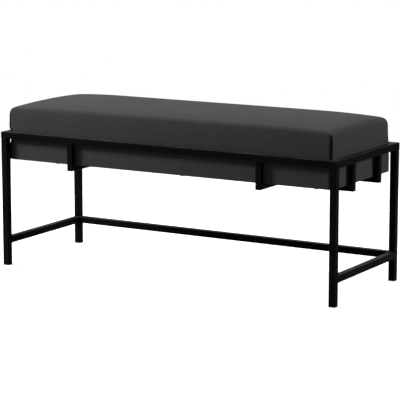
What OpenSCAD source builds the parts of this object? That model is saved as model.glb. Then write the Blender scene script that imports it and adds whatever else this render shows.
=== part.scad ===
// Entryway bench: a square-tube frame, a cradle of bars hung inside its top rails,
// and a deep upholstered seat box that drops between the rails and rests on the cradle.
// +X is right, -Y is the front, +Z is up; the origin is on the floor under the middle.

/* [Frame] */
// Length of the frame over its legs
frame_l = 1100; // [750:10:1500]
// Depth of the frame over its legs
frame_d = 400; // [320:10:500]
// Height of the top rails above the floor
frame_h = 400; // [330:10:520]
// Side of the square tube
tube = 20; // [18:1:30]
// Wall of the square tube
tube_wall = 1.5; // [1.2:0.1:2]
// Outside corner radius of the square tube
tube_r = 2; // [1:0.1:3]
// Height of the stretchers' undersides
stretcher_z = 65; // [30:5:120]
// Thickness of the glide under each leg
glide_t = 3; // [2:0.5:6]
// Length of the glide's plug inside the leg
plug_l = 16; // [10:1:25]
// Gap between the plug and the leg's inside
plug_gap = 0.2; // [0.1:0.05:0.5]

/* [Cradle] */
// Width of a cradle bar
bar_w = 18; // [15:1:25]
// Thickness of a cradle bar
bar_t = 15; // [12:1:20]
// Wall of a cradle bar
bar_wall = 1.5; // [1.2:0.1:2]
// Outside corner radius of a cradle bar
bar_r = 1.5; // [1:0.1:2]
// Gap between the seat's faces and the hangers' inner faces
hanger_gap = 4; // [2:0.5:8]
// Distance between the centres of the two cross bars
cross_spacing = 620; // [300:10:660]
// Distance between the centres of the two long bars
long_spacing = 163; // [120:1:200]

/* [Seat box] */
// Gap between the seat and the rails around it
seat_gap = 2; // [1:0.5:4]
// Depth of the seat below the top of the rails
seat_drop = 83; // [60:1:110]
// Height of the seat's crown above the top of the rails
seat_rise = 89; // [70:1:120]
// Radius of the crown across the seat
crown_r = 1300; // [1000:50:2400]
// Length over which the crown falls at each end
crown_end_l = 178; // [80:1:260]
// Radius of the crown's fall towards the ends
crown_end_r = 2400; // [1500:100:5000]
// Radius of the shoulders along the front and rear
shoulder_r = 15; // [10:1:25]
// Radius of the shoulders at the ends
end_shoulder_r = 24; // [12:1:35]
// Radius of the seat's vertical corners
corner_r = 10; // [9:1:20]
// Thickness of the cover fabric
cover_t = 1.2; // [0.8:0.1:2]
// Width of the cover turned under the box
cover_turn = 32; // [25:1:45]
// Thickness of the padding around the box sides
padding_t = 5; // [3:0.5:8]
// Gap between the padding or foam and the cover
soft_gap = 0.3; // [0.2:0.1:0.6]
// Thickness of the dust cloth under the seat
dust_t = 0.6; // [0.4:0.1:1]
// Distance from the seat's outer faces to the dust cloth's edges
dust_inset = 14; // [8:1:20]
// Thickness of the side boards and ribs
board_t = 12; // [9:1:18]
// Thickness of the base panel
base_t = 9; // [6:1:15]
// Thickness of the deck panel
deck_t = 9; // [6:1:15]
// Thickness of the foam at the crown
foam_t = 52; // [40:1:70]
// Side of the corner blocks
block_w = 28; // [20:1:35]
// Distance between the centres of the two ribs
rib_spacing = 340; // [240:10:420]

/* [Fasteners] */
// Diameter of the seat bolts
bolt_d = 6; // [5:0.5:8]
// Length of the seat bolts under the head
bolt_l = 25; // [24:1:40]
// Diameter of a seat bolt's head
head_d = 10.5; // [10:0.5:12]
// Height of a seat bolt's head
head_h = 3.3; // [2.5:0.1:4]
// Size across the flats of a seat bolt's hex socket
socket_w = 4; // [3:0.5:5]
// Clearance of the bolt holes in the bars, base panel and cloth
bolt_gap = 1; // [0.5:0.1:1.5]
// Diameter of the washers
washer_d = 12; // [12:0.5:14]
// Thickness of the washers
washer_t = 1.2; // [0.8:0.1:2]
// Radial gap between a bolt and the tee nut around it
thread_gap = 0.05; // [0.02:0.01:0.1]
// Diameter of a tee nut's barrel
barrel_d = 8; // [8:0.5:11]
// Diameter of a tee nut's flange
flange_d = 19; // [16:0.5:22]
// Thickness of a tee nut's flange
flange_t = 1.5; // [1:0.1:2]
// Distance from the seat's ends to the outer bolts
bolt_inset = 98; // [60:1:150]
// Diameter of the wood screws
wood_d = 3.5; // [3:0.5:4.5]
// Length of the wood screws
wood_l = 32; // [28:1:36]
// Most distance between wood screws
wood_pitch = 260; // [150:10:350]
// Width of a staple's crown
staple_w = 10; // [8:1:12]
// Thickness of the staple wire
staple_t = 0.7; // [0.5:0.1:1]
// Length of a staple's legs
staple_l = 8; // [7:1:9]
// Most distance between staples
staple_pitch = 48; // [40:1:80]

/* [Hidden] */

$fn = 48;
LEFT = -1;
RIGHT = 1;
FRONT = -1;
REAR = 1;
STEEL = "#1b1b1c";
ZINC = "#b9bcc0";
PLASTIC = "#141414";
PLYWOOD = "#c9a673";
CLOTH = "#3d3d3f";
LINING = "#202022";
FOAM = "#e8e2cf";
WADDING = "#f2f1ee";

// Frame
leg_x = (frame_l - tube) / 2;
leg_y = (frame_d - tube) / 2;
rail_z = frame_h - tube;
hollow = tube - 2 * tube_wall;
least_r = 0.4;
hollow_r = max(tube_r - tube_wall, least_r);

// Seat, from its outer faces inwards
seat_l = frame_l - 2 * (tube + seat_gap);
seat_d = frame_d - 2 * (tube + seat_gap);
seat_z = frame_h - seat_drop;
crown_z = frame_h + seat_rise;
padding_edge = cover_t + soft_gap;
box_edge = padding_edge + padding_t;
box_l = seat_l - 2 * box_edge;
box_d = seat_d - 2 * box_edge;
base_z = seat_z + cover_t;
board_z = base_z + base_t;
deck_top = crown_z - padding_edge - foam_t;
board_h = deck_top - deck_t - board_z;
dust_l = seat_l - 2 * dust_inset;
dust_d = seat_d - 2 * dust_inset;
shoulder_steps = 6;
crown_steps = 6;
crown_end_steps = 4;
cut = 1;

// Cradle, hung under the rails
bar_top = seat_z - dust_t;
bar_z = bar_top - bar_t;
cradle_l = seat_l + 2 * (hanger_gap + bar_t);
cradle_d = seat_d + 2 * (hanger_gap + bar_t);
hanger_h = rail_z - bar_z;
long_y = long_spacing / 2;
cross_x = cross_spacing / 2;
bolt_x = seat_l / 2 - bolt_inset;

// Fasteners
head_z = bar_z - washer_t;
hole_d = bolt_d + bolt_gap;
staple_edge = 7;
staple_row_gap = 4;
staple_clear = 1;
cloth_staple_inset = dust_inset + staple_edge;
cover_staple_inset = cloth_staple_inset + staple_row_gap;
screw_edge = box_edge + board_t / 2;
screw_inset = 45;

// Evenly spaced places from -half to half, at most pitch apart
function spread(half, pitch) = let (n = ceil(2 * half / pitch)) [for (i = [0:n]) -half + 2 * half * i / n];

// Points of an arc about [x, y], from angle a to angle b
function arc(x, y, r, a, b, n) = [for (i = [0:n]) let (t = a + (b - a) * i / n) [x + r * cos(t), y + r * sin(t)]];

// Right half of the seat's outline across its depth, drawn in by e all round
function depth_half(e) = let (
    r = shoulder_r - e,
    big = crown_r - e,
    x = seat_d / 2 - e - r,
    low = crown_z - e - big,
    y = low + sqrt((big - r) * (big - r) - x * x),
    lean = atan2(y - low, x)
) concat(arc(x, y, r, 0, lean, shoulder_steps), arc(0, low, big, lean, 90, crown_steps));

// Right half of the seat's outline along its length, drawn in by e all round
function length_half(e) = let (
    r = end_shoulder_r - e,
    big = crown_end_r - e,
    flat = seat_l / 2 - crown_end_l,
    x = crown_end_l - e - r,
    low = crown_z - e - big,
    y = low + sqrt((big - r) * (big - r) - x * x),
    lean = atan2(y - low, x)
) concat(arc(flat + x, y, r, 0, lean, shoulder_steps), arc(flat, low, big, lean, 90, crown_end_steps));

// A closed outline from its right half, standing on height z
function both_sides(half, z) = let (
    n = len(half),
    w = half[0][0]
) concat([[-w, z], [w, z]], half, [for (i = [n - 1:-1:0]) [-half[i][0], half[i][1]]]);

// Rectangle centred on the origin with round corners
module round_rect(w, h, r) {
    square([w - 2 * r, h], center = true);
    square([w, h - 2 * r], center = true);
    for (x = [-1, 1], y = [-1, 1]) translate([x * (w / 2 - r), y * (h / 2 - r)]) circle(r);
}

// Rectangular tube along X from a to b, its section centred on the axis
module tube_x(a, b, w, h, wall, r) {
    inner_r = max(r - wall, least_r);
    translate([a, 0, 0]) rotate([90, 0, 90]) linear_extrude(b - a) difference() {
        round_rect(w, h, r);
        round_rect(w - 2 * wall, h - 2 * wall, inner_r);
    }
}

// Square frame tube along Z from a to b
module frame_tube(a, b) {
    translate([0, 0, a]) linear_extrude(b - a) difference() {
        round_rect(tube, tube, tube_r);
        round_rect(hollow, hollow, hollow_r);
    }
}

// Leg at one corner, from its glide up to the rails
module leg(side, end) {
    color(STEEL) translate([side * leg_x, end * leg_y, 0]) frame_tube(glide_t, rail_z);
}

// Glide with a hollow plug pressed up into the leg
module glide(side, end) {
    plug = hollow - 2 * plug_gap;
    plug_bore = plug / 2;
    color(PLASTIC) translate([side * leg_x, end * leg_y, 0]) {
        linear_extrude(glide_t) round_rect(tube, tube, tube_r);
        translate([0, 0, glide_t]) linear_extrude(plug_l) difference() {
            round_rect(plug, plug, hollow_r);
            circle(d = plug_bore);
        }
    }
}

// Top rail of length l along X, mitred at both ends, its outer face on the -Y side
module mitred_rail(l) {
    e = tube / 2;
    color(STEEL) translate([0, 0, rail_z + e]) intersection() {
        tube_x(-l / 2, l / 2, tube, tube, tube_wall, tube_r);
        linear_extrude(2 * tube, center = true)
            polygon([[-l / 2, -e], [l / 2, -e], [l / 2 - tube, e], [tube - l / 2, e]]);
    }
}

// Stretcher between two legs at either end of one side
module side_stretcher(side) {
    half = leg_y - tube / 2;
    color(STEEL) translate([side * leg_x, 0, stretcher_z + tube / 2]) rotate([0, 0, 90])
        tube_x(-half, half, tube, tube, tube_wall, tube_r);
}

// Stretcher between the two rear legs
module rear_stretcher() {
    half = leg_x - tube / 2;
    color(STEEL) translate([0, leg_y, stretcher_z + tube / 2])
        tube_x(-half, half, tube, tube, tube_wall, tube_r);
}

// Cradle bar along X from a to b, lying on z = 0, with its ends cut back at the top
// by as much as a hanger stands on them
module cradle_bar(a, b, mitre_a, mitre_b) {
    in_a = mitre_a ? bar_t : 0;
    in_b = mitre_b ? bar_t : 0;
    intersection() {
        translate([0, 0, bar_t / 2]) tube_x(a, b, bar_w, bar_t, bar_wall, bar_r);
        rotate([90, 0, 0]) linear_extrude(2 * bar_w, center = true)
            polygon([[a, 0], [b, 0], [b - in_b, bar_t], [a + in_a, bar_t]]);
    }
}

// Upright at the +X end of a cradle of the given length, mitred on to its bar
module hanger(l) {
    x = l / 2;
    color(STEEL) translate([0, 0, bar_z]) intersection() {
        translate([x - bar_t / 2, 0, 0]) rotate([0, -90, 0])
            tube_x(0, hanger_h, bar_w, bar_t, bar_wall, bar_r);
        rotate([90, 0, 0]) linear_extrude(2 * bar_w, center = true)
            polygon([[x, 0], [x, hanger_h], [x - bar_t, hanger_h], [x - bar_t, bar_t]]);
    }
}

// Places of the seat bolts
module at_bolts() {
    for (x = [-bolt_x, 0, bolt_x], y = [-long_y, long_y]) translate([x, y, 0]) children();
}

// Clear holes for the seat bolts
module bolt_holes(d, z, h) {
    at_bolts() translate([0, 0, z]) cylinder(d = d, h = h);
}

// Long bar under the seat, from the left rail to the right rail
module long_bar(end) {
    color(STEEL) difference() {
        translate([0, end * long_y, bar_z]) cradle_bar(-cradle_l / 2, cradle_l / 2, true, true);
        bolt_holes(hole_d, bar_z - cut, bar_t + 2 * cut);
    }
}

// Upright from a long bar to the left or right rail
module long_hanger(end, side) {
    translate([0, end * long_y, 0]) rotate([0, 0, side == RIGHT ? 0 : 180]) hanger(cradle_l);
}

// Outer length of a cross bar, from a long bar out to the front or rear rail
module cross_bar_outer(side, end) {
    color(STEEL) translate([side * cross_x, 0, bar_z]) rotate([0, 0, end * 90])
        cradle_bar(long_y + bar_w / 2, cradle_d / 2, false, true);
}

// Middle length of a cross bar, between the long bars
module cross_bar_middle(side) {
    half = long_y - bar_w / 2;
    color(STEEL) translate([side * cross_x, 0, bar_z]) rotate([0, 0, 90])
        cradle_bar(-half, half, false, false);
}

// Upright from a cross bar to the front or rear rail
module cross_hanger(side, end) {
    translate([side * cross_x, 0, 0]) rotate([0, 0, end * 90]) hanger(cradle_d);
}

// The seat's outer form drawn in by e on every side and at the top, standing on height z
module seat_form(e, z) {
    intersection() {
        translate([0, 0, z]) linear_extrude(crown_z - z)
            round_rect(seat_l - 2 * e, seat_d - 2 * e, corner_r - e);
        rotate([90, 0, 90]) linear_extrude(seat_l, center = true) polygon(both_sides(depth_half(e), z));
        rotate([90, 0, 0]) linear_extrude(seat_d, center = true) polygon(both_sides(length_half(e), z));
    }
}

// Staple places from -half to half, leaving out those that a bar at -bar or bar would cover
function staple_row(half, bar) =
    [for (p = spread(half, staple_pitch)) if (abs(abs(p) - bar) > (bar_w + staple_w) / 2 + staple_clear) p];

// Staple places around the seat's underside, inset from its faces, each turned along its edge
module around(inset) {
    half_l = seat_l / 2 - inset;
    half_d = seat_d / 2 - inset;
    for (x = staple_row(half_l - 2 * staple_w, cross_x), s = [-1, 1])
        translate([x, s * half_d, 0]) children();
    for (y = staple_row(half_d - 2 * staple_w, long_y), s = [-1, 1])
        translate([s * half_l, y, 0]) rotate([0, 0, 90]) children();
}

// One staple driven upwards, its crown's underside at z = 0
module staple() {
    translate([-staple_w / 2, -staple_t / 2, 0]) cube([staple_w, staple_t, staple_t]);
    for (x = [-staple_w / 2, staple_w / 2 - staple_t])
        translate([x, -staple_t / 2, 0]) cube([staple_t, staple_t, staple_l]);
}

// Staples through the turned-under cover into the base panel, pulled into the cover by half its thickness
module cover_staples() {
    color(ZINC) translate([0, 0, seat_z + cover_t / 2 - staple_t])
        around(cover_staple_inset) staple();
}

// Staples that hold the dust cloth over the turned-under cover
module cloth_staples() {
    color(ZINC) translate([0, 0, bar_top - staple_t]) around(cloth_staple_inset) staple();
}

// Base panel, drilled for the tee nuts and pierced by the staples
module base_panel() {
    color(PLYWOOD) difference() {
        translate([0, 0, base_z]) linear_extrude(base_t) square([box_l, box_d], center = true);
        bolt_holes(barrel_d, base_z - cut, base_t + 2 * cut);
        cover_staples();
        cloth_staples();
        wood_screws();
    }
}

// Front or rear side board, the full length of the box
module long_board(end) {
    color(PLYWOOD) difference() {
        translate([-box_l / 2, end * (box_d - board_t) / 2 - board_t / 2, board_z])
            cube([box_l, board_t, board_h]);
        wood_screws();
    }
}

// Left or right side board, between the front and rear boards
module end_board(side) {
    inner_d = box_d - 2 * board_t;
    color(PLYWOOD) difference() {
        translate([side * (box_l - board_t) / 2 - board_t / 2, -inner_d / 2, board_z])
            cube([board_t, inner_d, board_h]);
        wood_screws();
    }
}

// Rib across the box, between the front and rear boards
module rib(side) {
    inner_d = box_d - 2 * board_t;
    color(PLYWOOD) difference() {
        translate([side * rib_spacing / 2 - board_t / 2, -inner_d / 2, board_z])
            cube([board_t, inner_d, board_h]);
        wood_screws();
    }
}

// Glue blocks in the four inner corners of the box
module corner_blocks() {
    x = box_l / 2 - board_t;
    y = box_d / 2 - board_t;
    color(PLYWOOD) for (sx = [-1, 1], sy = [-1, 1]) translate([sx * x, sy * y, board_z])
        linear_extrude(board_h) polygon([[0, 0], [-sx * block_w, 0], [0, -sy * block_w]]);
}

// Deck panel that carries the foam
module deck_panel() {
    color(PLYWOOD) difference() {
        translate([0, 0, deck_top - deck_t]) linear_extrude(deck_t) square([box_l, box_d], center = true);
        wood_screws();
    }
}

// Padding band around the box sides, up to the deck
module side_padding() {
    r = corner_r - padding_edge;
    color(WADDING) translate([0, 0, base_z]) linear_extrude(deck_top - base_z) difference() {
        round_rect(seat_l - 2 * padding_edge, seat_d - 2 * padding_edge, r);
        square([box_l, box_d], center = true);
    }
}

// Crowned foam on the deck
module foam_block() {
    color(FOAM) seat_form(padding_edge, deck_top);
}

// Sewn cover around the seat, turned under the base panel and open below
module seat_cover() {
    color(CLOTH) difference() {
        seat_form(0, seat_z);
        seat_form(cover_t, base_z);
        translate([0, 0, seat_z - cut]) linear_extrude(cover_t + 2 * cut)
            square([seat_l - 2 * cover_turn, seat_d - 2 * cover_turn], center = true);
        cover_staples();
        cloth_staples();
    }
}

// Black cloth that closes the underside of the seat
module dust_cloth() {
    color(LINING) difference() {
        translate([0, 0, bar_top]) linear_extrude(dust_t) square([dust_l, dust_d], center = true);
        bolt_holes(hole_d, bar_top - cut, dust_t + 2 * cut);
        cloth_staples();
        cover_staples();
    }
}

// Countersunk wood screw driven down, its head's top at z = 0
module wood_screw() {
    sunk_d = 2 * wood_d;
    sunk_h = wood_d / 2;
    translate([0, 0, -sunk_h]) cylinder(d1 = wood_d, d2 = sunk_d, h = sunk_h);
    translate([0, 0, -wood_l]) cylinder(d = wood_d, h = wood_l);
}

// Places of the wood screws along the box edges and the ribs
module at_wood_screws() {
    x = seat_l / 2 - screw_edge;
    y = seat_d / 2 - screw_edge;
    for (px = spread(seat_l / 2 - box_edge - screw_inset, wood_pitch), s = [-1, 1])
        translate([px, s * y, 0]) children();
    for (py = spread(seat_d / 2 - box_edge - screw_inset, wood_pitch / 2)) {
        for (s = [-1, 1]) translate([s * x, py, 0]) children();
        for (s = [-1, 1]) translate([s * rib_spacing / 2, py, 0]) children();
    }
}

// Wood screws down through the deck and up through the base panel
module wood_screws() {
    color(ZINC) {
        translate([0, 0, deck_top]) at_wood_screws() wood_screw();
        translate([0, 0, base_z]) at_wood_screws() mirror([0, 0, 1]) wood_screw();
    }
}

// Button-head bolts up through the long bars into the tee nuts
module seat_bolts() {
    color(ZINC) translate([0, 0, head_z]) at_bolts() difference() {
        union() {
            cylinder(d = bolt_d, h = bolt_l);
            translate([0, 0, -head_h / 2]) cylinder(d = head_d, h = head_h / 2);
            translate([0, 0, -head_h]) cylinder(d1 = head_d - head_h, d2 = head_d, h = head_h / 2);
        }
        translate([0, 0, -head_h - cut]) cylinder(d = socket_w / cos(30), h = head_h / 2 + cut, $fn = 6);
    }
}

// Washers between the bolt heads and the long bars
module seat_washers() {
    color(ZINC) at_bolts() translate([0, 0, head_z]) difference() {
        cylinder(d = washer_d, h = washer_t);
        translate([0, 0, -cut]) cylinder(d = bolt_d + bolt_gap / 2, h = washer_t + 2 * cut);
    }
}

// Tee nuts let down into the base panel, flanges on its upper face
module tee_nuts() {
    color(ZINC) at_bolts() translate([0, 0, base_z]) difference() {
        union() {
            cylinder(d = barrel_d, h = base_t);
            translate([0, 0, base_t]) cylinder(d = flange_d, h = flange_t);
        }
        translate([0, 0, -cut]) cylinder(d = bolt_d + 2 * thread_gap, h = base_t + flange_t + 2 * cut);
    }
}

leg(LEFT, FRONT);  // leg_front_left
leg(RIGHT, FRONT);  // leg_front_right
leg(LEFT, REAR);  // leg_rear_left
leg(RIGHT, REAR);  // leg_rear_right
glide(LEFT, FRONT);  // glide_front_left
glide(RIGHT, FRONT);  // glide_front_right
glide(LEFT, REAR);  // glide_rear_left
glide(RIGHT, REAR);  // glide_rear_right
translate([0, -leg_y, 0]) mitred_rail(frame_l);  // rail_front
translate([0, leg_y, 0]) rotate([0, 0, 180]) mitred_rail(frame_l);  // rail_rear
translate([-leg_x, 0, 0]) rotate([0, 0, -90]) mitred_rail(frame_d);  // rail_left
translate([leg_x, 0, 0]) rotate([0, 0, 90]) mitred_rail(frame_d);  // rail_right
side_stretcher(LEFT);  // stretcher_left
side_stretcher(RIGHT);  // stretcher_right
rear_stretcher();  // stretcher_rear
long_bar(FRONT);  // long_bar_front
long_bar(REAR);  // long_bar_rear
long_hanger(FRONT, LEFT);  // long_hanger_front_left
long_hanger(FRONT, RIGHT);  // long_hanger_front_right
long_hanger(REAR, LEFT);  // long_hanger_rear_left
long_hanger(REAR, RIGHT);  // long_hanger_rear_right
cross_bar_outer(LEFT, FRONT);  // cross_bar_left_front
cross_bar_middle(LEFT);  // cross_bar_left_middle
cross_bar_outer(LEFT, REAR);  // cross_bar_left_rear
cross_bar_outer(RIGHT, FRONT);  // cross_bar_right_front
cross_bar_middle(RIGHT);  // cross_bar_right_middle
cross_bar_outer(RIGHT, REAR);  // cross_bar_right_rear
cross_hanger(LEFT, FRONT);  // cross_hanger_left_front
cross_hanger(LEFT, REAR);  // cross_hanger_left_rear
cross_hanger(RIGHT, FRONT);  // cross_hanger_right_front
cross_hanger(RIGHT, REAR);  // cross_hanger_right_rear
base_panel();
long_board(FRONT);  // board_front
long_board(REAR);  // board_rear
end_board(LEFT);  // board_left
end_board(RIGHT);  // board_right
rib(LEFT);  // rib_left
rib(RIGHT);  // rib_right
corner_blocks();
deck_panel();
side_padding();
foam_block();
seat_cover();
dust_cloth();
cover_staples();
cloth_staples();
wood_screws();
seat_bolts();
seat_washers();
tee_nuts();
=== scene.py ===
"""Entryway bench: finishes, upholstery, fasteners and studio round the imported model.

Metres throughout. +X is right along the bench, -Y is the front, +Z is up.
"""

import math

import bmesh
import bpy
import numpy as np
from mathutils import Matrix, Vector
from mathutils.kdtree import KDTree


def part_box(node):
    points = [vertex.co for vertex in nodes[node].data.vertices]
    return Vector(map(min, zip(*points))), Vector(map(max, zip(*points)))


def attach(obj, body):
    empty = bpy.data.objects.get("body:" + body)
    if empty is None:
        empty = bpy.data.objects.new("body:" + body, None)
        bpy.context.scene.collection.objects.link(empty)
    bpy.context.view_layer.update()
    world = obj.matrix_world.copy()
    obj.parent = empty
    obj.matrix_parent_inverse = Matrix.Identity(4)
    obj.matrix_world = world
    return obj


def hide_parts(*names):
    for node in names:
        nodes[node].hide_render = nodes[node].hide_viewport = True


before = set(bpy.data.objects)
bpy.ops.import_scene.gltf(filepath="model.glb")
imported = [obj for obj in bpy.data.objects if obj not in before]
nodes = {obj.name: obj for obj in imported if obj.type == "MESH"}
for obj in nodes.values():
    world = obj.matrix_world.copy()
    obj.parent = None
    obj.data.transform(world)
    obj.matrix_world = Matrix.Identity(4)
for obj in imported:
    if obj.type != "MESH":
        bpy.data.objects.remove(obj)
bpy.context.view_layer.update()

MM = 0.001

# -------- sizes of the upholstery

seat_low, seat_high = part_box("seat_cover")
HALF_L = seat_high.x
HALF_D = seat_high.y
SEAT_Z = seat_low.z
CROWN_Z = seat_high.z
COVER_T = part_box("base_panel")[0].z - SEAT_Z
FRONT_SHOULDER = 15 * MM  # radius over the front and rear edges
END_SHOULDER = 24 * MM  # radius over the two ends
LEAST_RADIUS = 2 * MM  # of an outline that is drawn in
CORNER_POWER = 6.0  # 2 is a round plan corner, more is squarer
BOX_CORNER = 0.8  # how nearly square the corners are down on the plywood box
CROWN_SPAN = 2.6  # twice the crown's radius across the seat
END_START = 350 * MM  # where the crown starts to fall towards each end
END_SPAN = 8.0  # twice the radius of that fall
END_FLATTEN = 2.3  # how much further it falls in the middle than at the corners
FULLER_RIGHT = 1.8 * MM  # how much fuller the right half is
COVER_PITCH = 10 * MM
SHOULDER_TURNS = (0.25, 0.45, 0.6, 0.73, 1.0)  # shares of a quarter turn
WALL_STEPS = 15
HEM_RADIUS = 2.2 * MM
HEM_TURNS = (30, 60, 90)  # degrees round the lower edge
UNDER_STEPS = 4
TURN_UNDER = 32 * MM
SEAM_DEPTH = 3.6 * MM
SEAM_WIDTH = 2.8 * MM
SEAM_SLANT = 0.35  # how far a seam is drawn along the bench, for one part across it
LIP_AWAY = 3.5 * SEAM_WIDTH  # the cloth stands up a little beside a seam
LIP_WIDTH = 1.6 * SEAM_WIDTH
LIP_RISE = 0.3 * MM
SEAM_TOP = CROWN_Z - 17 * MM
SEAM_FADE = 8 * MM
SEAM_SHIFT = 2  # grid lines from the corner to its seam, on the long side
STITCH_IN = SEAM_DEPTH - 0.5 * MM
STITCH = {"Pitch": 3.4 * MM, "Width": 0.9 * MM, "Length": 2.4 * MM}
WELD = {"Pitch": 1.5 * MM, "Width": 3.0 * MM, "Length": 2.6 * MM}
WELD_TRIM = 1.5 * MM  # from the end of a joint to its first bead
RAIL_LOW, RAIL_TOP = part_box("rail_front")[0].z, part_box("rail_front")[1].z
CLEAR_LOW, CLEAR_TOP = RAIL_LOW - 1 * MM, RAIL_TOP + 0.5 * MM  # heights where the rails let go
LEAN_START = HALF_L - 150 * MM  # from here the left end stands proud of the box
LEAN_OVER = 11.5 * MM  # over the left rail
LEAN_BETWEEN = 1.5 * MM  # between the rails
LEAN_UNDER = 3.5 * MM  # below them
CORNER_FOLDS = 2.8 * MM  # more where the cloth is folded over itself at the corners
FOLDS_START, FOLDS_FULL = HALF_D - 50 * MM, HALF_D - 10 * MM
SIDE_UNDER = 1.8 * MM  # and along the front and rear there
SIDE_START = 0.9 * HALF_D
EASE = 22 * MM  # height over which one grows into the next
EASE_OVER = 9 * MM
SWELL_ROOM = 1.6 * MM  # how much smaller the cover is before its padding fills it
SWELL_CAP = 3.2 * MM  # and how far it then comes out at most
SWELL_FROM, SWELL_FULL = RAIL_TOP + 4 * MM, RAIL_TOP + 34 * MM  # heights where that starts and is full
SWELL_VOXEL = 7 * MM
SWELL_FRAMES = 20
SWELL_NEAR = 6  # points of the even copy that say how far a point moves
SWELL_EASE = 1 * MM  # added to their distances, so that none counts alone
FILLING = {
    "quality": 5, "mass": 3.0, "use_pressure": True, "uniform_pressure_force": 4.0,
    "tension_stiffness": 25.0, "compression_stiffness": 25.0,
    "shear_stiffness": 8.0, "bending_stiffness": 0.8,
}
PADDING_INSET = 5.5 * MM
PADDING_RELIEF = 9 * MM  # width over which padding is drawn back from a seam
PADDING_DEPTH = 1.2 * SEAM_DEPTH
FOAM_STEPS = 4
WADDING_INSET = 1.8 * MM
WADDING_EDGE = (  # (share of its height, inset in mm)
    (0.0, 1.6), (0.01, 0.6), (0.04, 0.1), (0.5, 0.0), (0.96, 0.1), (0.99, 0.6), (1.0, 1.6),
)
CLOTH_T = 0.25 * MM
CLOTH_GAP = 0.05 * MM  # under the base panel
CLOTH_PITCH = 12 * MM
CLOTH_HELD = 12 * MM  # width of its edge that lies flat
CLOTH_SAG = 1.2 * MM
FULL_SAG = 120 * MM  # least span over which it sags in full
CUT_ROOM = 3 * MM  # least distance from a grid line to a cut
HOLE_NEAR = 1 * MM  # a cell with its middle this near a bolt is left out
FOLD = 10 * MM
FOLD_RISE = 0.3 * MM
FOLD_STEPS = ((0.0, 0.5), (CLOTH_T, 1.0), (FOLD / 2, 1.0), (FOLD, 1.0))  # (how far in, share of the rise)
SAME_PLACE = 0.001 * MM  # corners this near are one
TINY = 1e-9
STAPLE_WIRE = 0.7 * MM
BOLT_HEAD = 10.5 * MM
BOLT_HOLE = 7 * MM


# -------- node trees

class Wiring:
    """Adds nodes to one tree. An input is named or numbered, and takes a value or another node's output."""

    def __init__(self, tree):
        self.tree = tree

    def add(self, kind, inputs=None, **settings):
        node = self.tree.nodes.new(kind)
        for name, value in settings.items():
            setattr(node, name, value)
        for name, value in (inputs or {}).items():
            self.feed(node.inputs[name], value)
        return node

    def feed(self, socket, value):
        if isinstance(value, bpy.types.NodeSocket):
            self.tree.links.new(value, socket)
        else:
            socket.default_value = value

    def math(self, operation, a, b=0.0, c=0.0, clamp=False):
        inputs = {0: a, 1: b, 2: c}
        return self.add("ShaderNodeMath", inputs, operation=operation, use_clamp=clamp).outputs[0]

    def times(self, a, b, **settings):
        return self.math("MULTIPLY", a, b, **settings)

    def place(self):
        """The piece's own coordinates."""
        return self.add("ShaderNodeTexCoord").outputs["Object"]

    def vector(self, operation, a, b=(0.0, 0.0, 0.0)):
        node = self.add("ShaderNodeVectorMath", {0: a}, operation=operation)
        if operation == "SCALE":
            self.feed(node.inputs["Scale"], b)
        elif operation == "MULTIPLY":
            self.feed(node.inputs[1], b)
        return node.outputs[0]

    def split(self, vector):
        return self.add("ShaderNodeSeparateXYZ", {0: vector}).outputs

    def join(self, x=0.0, y=0.0, z=0.0):
        return self.add("ShaderNodeCombineXYZ", {0: x, 1: y, 2: z}).outputs[0]

    def remap(self, value, low, high, to_low=0.0, to_high=1.0, kind="SMOOTHSTEP"):
        inputs = {"Value": value, "From Min": low, "From Max": high, "To Min": to_low, "To Max": to_high}
        return self.add("ShaderNodeMapRange", inputs, interpolation_type=kind).outputs[0]

    def noise(self, vector, scale, detail=2.0, roughness=0.5, distortion=0.0):
        node = self.add("ShaderNodeTexNoise", {"Vector": vector, "Scale": scale, "Detail": detail})
        self.feed(node.inputs["Roughness"], roughness)
        self.feed(node.inputs["Distortion"], distortion)
        return node.outputs["Fac"]

    def mix(self, share, a, b):
        """Colour that goes from a to b. A colour is an output, three parts or, for a grey, one number."""
        node = self.add("ShaderNodeMix", {0: share}, data_type="RGBA")
        for socket, value in ((6, a), (7, b)):
            parts = (value,) * 3 if isinstance(value, float) else value
            self.feed(node.inputs[socket], (*parts, 1) if isinstance(parts, tuple) else parts)
        return node.outputs[2]


def add_socket(tree, label, kind, value=None, way="INPUT"):
    """Adds a named socket to a group's outside, and returns its identifier."""
    socket = tree.interface.new_socket(label, in_out=way, socket_type="NodeSocket" + kind)
    if value is not None:
        socket.default_value = value
    return socket.identifier


def shader_group(name, inputs, outputs):
    """A shader node group and its wiring: inputs are names with defaults, outputs are names with types."""
    tree = bpy.data.node_groups.new(name, "ShaderNodeTree")
    for label, value in inputs.items():
        add_socket(tree, label, "Vector" if isinstance(value, tuple) else "Float", value)
    for label, kind in outputs.items():
        add_socket(tree, label, kind, way="OUTPUT")
    wiring = Wiring(tree)
    return wiring, wiring.add("NodeGroupInput").outputs, wiring.add("NodeGroupOutput").inputs


def make_edge_wear():
    """Mask of rounded edges on square stock: none on a face square to an axis, all on a turned edge."""
    w, given, out = shader_group("edge_wear", {"Amount": 1.0, "Patch Size": 0.02}, {"Mask": "Float"})
    place = w.add("ShaderNodeTexCoord").outputs
    x, y, z = w.split(w.vector("ABSOLUTE", place["Normal"]))
    square = w.math("MAXIMUM", w.math("MAXIMUM", x, y), z)
    turned = w.remap(square, 0.97, 0.78)
    patches = w.noise(place["Object"], w.math("DIVIDE", 1.0, given["Patch Size"]), detail=3.0)
    broken = w.times(turned, w.remap(patches, 0.35, 0.7))
    w.feed(out["Mask"], w.times(broken, given["Amount"], clamp=True))
    return w.tree


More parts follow.
